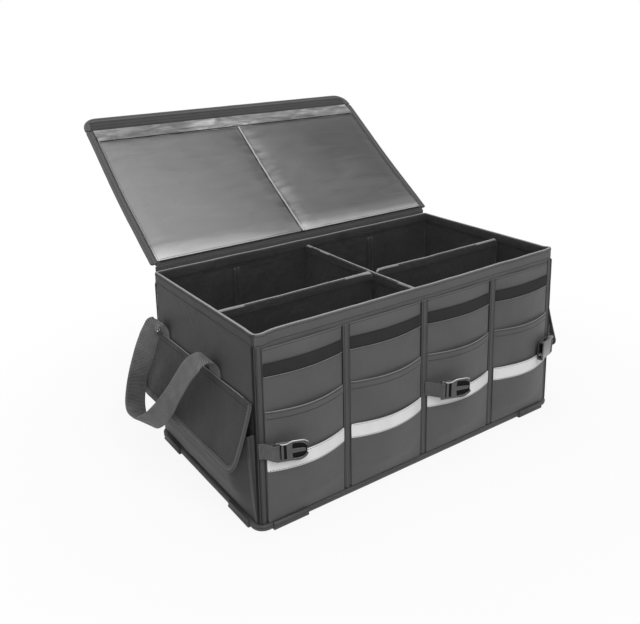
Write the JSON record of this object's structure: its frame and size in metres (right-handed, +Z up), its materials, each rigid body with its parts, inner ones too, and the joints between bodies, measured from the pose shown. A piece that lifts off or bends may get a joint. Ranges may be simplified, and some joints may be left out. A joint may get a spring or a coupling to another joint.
{
  "type": "car trunk organizer",
  "caption": "Fabric trunk organizer on a stiff base, with divided compartments, pleated front pockets, flapped side pockets, webbing handles and a hinged padded lid standing open.",
  "frame": {"origin": "middle of the flat underside of the base board", "axes": "+X to the right along the pocketed front, +Y from the front to the hinged back, +Z up"},
  "size_m": [0.7904, 0.6742, 0.527],
  "materials": {
    "charcoal_fabric": "matte coated weave",
    "dark_tape": "matte binding tape",
    "webbing": "ribbed webbing",
    "hook_and_loop": "rough hook and loop tape",
    "reflective_tape": "satin reflective tape",
    "lid_liner": "semi-gloss coated lining",
    "black_plastic": "glossy",
    "grip_strip": "matte ribbed"
  },
  "bodies": {
    "box": {"base_board": "charcoal_fabric", "base_binding": "charcoal_fabric", "wall_front": "charcoal_fabric", "wall_back": "charcoal_fabric", "wall_left": "charcoal_fabric", "wall_right": "charcoal_fabric", "front_cover": "charcoal_fabric", "upper_pocket_1": "charcoal_fabric", "upper_pocket_2": "charcoal_fabric", "upper_pocket_3": "charcoal_fabric", "upper_pocket_4": "charcoal_fabric", "lower_pocket_1": "charcoal_fabric", "lower_pocket_2": "charcoal_fabric", "lower_pocket_3": "charcoal_fabric", "lower_pocket_4": "charcoal_fabric", "side_pocket_left": "charcoal_fabric", "side_pocket_right": "charcoal_fabric", "side_flap_left": "charcoal_fabric", "side_flap_right": "charcoal_fabric", "divider_middle": "dark_tape", "divider_left": "dark_tape", "divider_right": "dark_tape", "front_tape_1": "dark_tape", "front_tape_2": "dark_tape", "front_tape_3": "dark_tape", "corner_tape_front_left": "dark_tape", "corner_tape_back_left": "dark_tape", "corner_tape_front_right": "dark_tape", "corner_tape_back_right": "dark_tape", "lid_hinge_tape": "dark_tape", "buckle_strap_left": "webbing", "buckle_strap_middle": "webbing", "buckle_strap_right": "webbing", "hook_strip_1": "hook_and_loop", "hook_strip_2": "hook_and_loop", "hook_strip_3": "hook_and_loop", "hook_strip_4": "hook_and_loop", "reflective_strip_1": "reflective_tape", "reflective_strip_2": "reflective_tape", "reflective_strip_3": "reflective_tape", "reflective_strip_4": "reflective_tape", "buckle_plug_left": "black_plastic", "buckle_plug_middle": "black_plastic", "buckle_socket_right": "black_plastic", "grip_front_left": "grip_strip", "grip_back_left": "grip_strip", "grip_front_right": "grip_strip", "grip_back_right": "grip_strip", "grip_left_front": "grip_strip", "grip_left_back": "grip_strip", "grip_right_front": "grip_strip", "grip_right_back": "grip_strip"},
    "lid": {"lid_cover": "charcoal_fabric", "lid_panel_left": "lid_liner", "lid_panel_right": "lid_liner"},
    "closing_strip": {"lid_closing_strip": "charcoal_fabric", "lid_loop_tape": "hook_and_loop"},
    "handle_left": {"handle_left": "webbing"},
    "handle_right": {"handle_right": "webbing"}
  },
  "joints": [
    {"name": "lid_hinge", "type": "hinge", "parent": "box", "child": "lid", "pos_m": [0, 0.1642, 0.3163], "axis": [-1, 0, 0], "range_deg": [-145.2, 92]},
    {"name": "closing_strip_fold", "type": "hinge", "parent": "lid", "child": "closing_strip", "pos_m": [0, 0.43331, 0.50821], "axis": [1, 0, 0], "range_deg": [0, 84]},
    {"name": "handle_left_swing", "type": "hinge", "parent": "box", "child": "handle_left", "pos_m": [-0.32024, 0.04, 0.234], "axis": [0, 1, 0], "range_deg": [0, 135]},
    {"name": "handle_right_swing", "type": "hinge", "parent": "box", "child": "handle_right", "pos_m": [0.32024, 0.04, 0.234], "axis": [0, -1, 0], "range_deg": [0, 135]}
  ]
}
